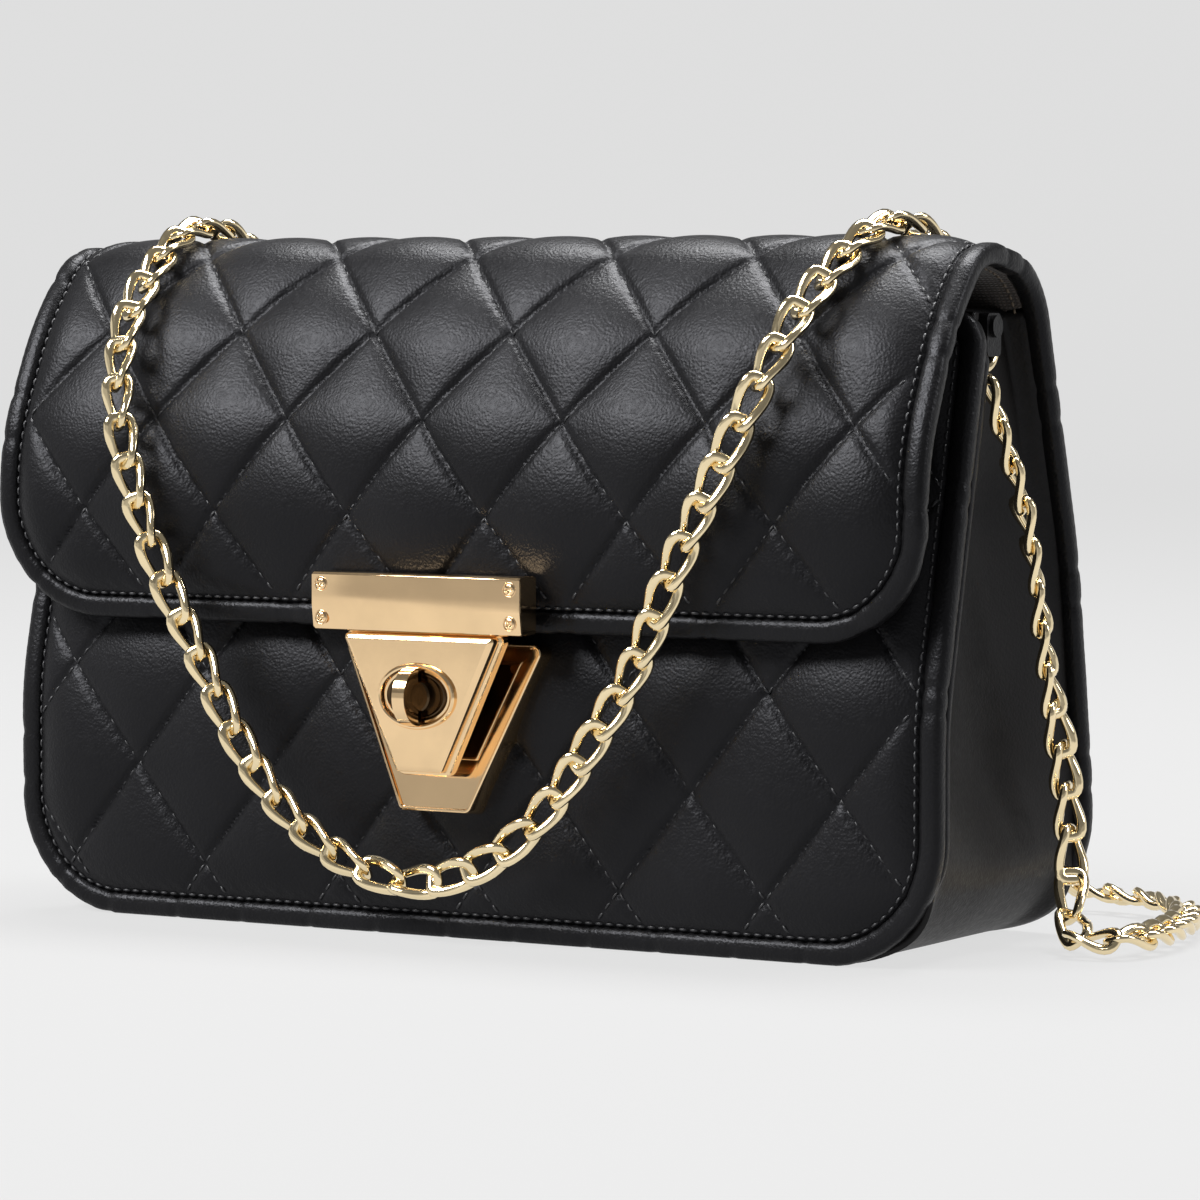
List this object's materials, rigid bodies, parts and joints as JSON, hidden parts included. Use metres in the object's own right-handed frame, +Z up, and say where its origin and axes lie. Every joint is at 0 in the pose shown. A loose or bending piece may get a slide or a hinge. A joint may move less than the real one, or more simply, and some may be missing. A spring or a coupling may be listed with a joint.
{
  "type": "crossbody purse",
  "caption": "Small quilted flap bag with a turn lock on the front and a chain strap laid over the flap.",
  "frame": {"origin": "middle of the flat underside of the base", "axes": "+X to the bag's left-hand side as it faces forward, which is to the right in a front view; -Y faces forward, towards the lock; +Z up"},
  "size_m": [0.2307, 0.1211, 0.1379],
  "materials": {
    "leather": "black smooth leather with a soft satin sheen",
    "rolled_edge": "black leather rolled over the edge, slightly glossier",
    "lining": "dark brown woven lining",
    "board": "grey-brown stiffening board",
    "gold_metal": "polished champagne gold plating",
    "gold_chain": "polished pale gold plating",
    "steel": "plain plated steel"
  },
  "bodies": {
    "bag": {"back_binding": "rolled_edge", "back_board": "board", "back_panel": "leather", "base_board": "board", "bottom_panel": "leather", "chain_left": "gold_chain", "chain_right": "gold_chain", "d_ring_left": "gold_metal", "d_ring_right": "gold_metal", "front_binding": "rolled_edge", "front_board": "board", "front_panel": "leather", "gusset_left": "leather", "gusset_right": "leather", "lining_back": "lining", "lining_bottom": "lining", "lining_front": "lining", "lining_left": "lining", "lining_right": "lining", "lock_backing_plate": "steel", "lock_base_plate": "gold_metal", "lock_bushing": "steel", "lock_rivets": "steel", "lock_washer": "steel", "pleat_left": "leather", "pleat_right": "leather", "tab_left": "leather", "tab_right": "leather", "tab_rivets": "steel"},
    "flap": {"flap_shell": "leather", "flap_binding": "rolled_edge", "flap_board": "board", "flap_lining": "lining", "clasp_bar": "gold_metal", "clasp_tongue": "gold_metal", "tongue_rosette": "gold_metal", "clasp_back_plate": "steel", "clasp_screws": "gold_metal", "chain_front": "gold_chain"},
    "knob": {"turn_knob": "gold_metal", "knob_clip": "steel"}
  },
  "joints": [
    {"name": "flap_hinge", "type": "hinge", "parent": "bag", "child": "flap", "pos_m": [0, 0.0142, 0.1146], "axis": [-1, 0, 0], "range_deg": [0, 115]},
    {"name": "knob_turn", "type": "hinge", "parent": "bag", "child": "knob", "pos_m": [0, -0.0472, 0.046], "axis": [0, -1, 0], "range_deg": [0, 90]}
  ]
}
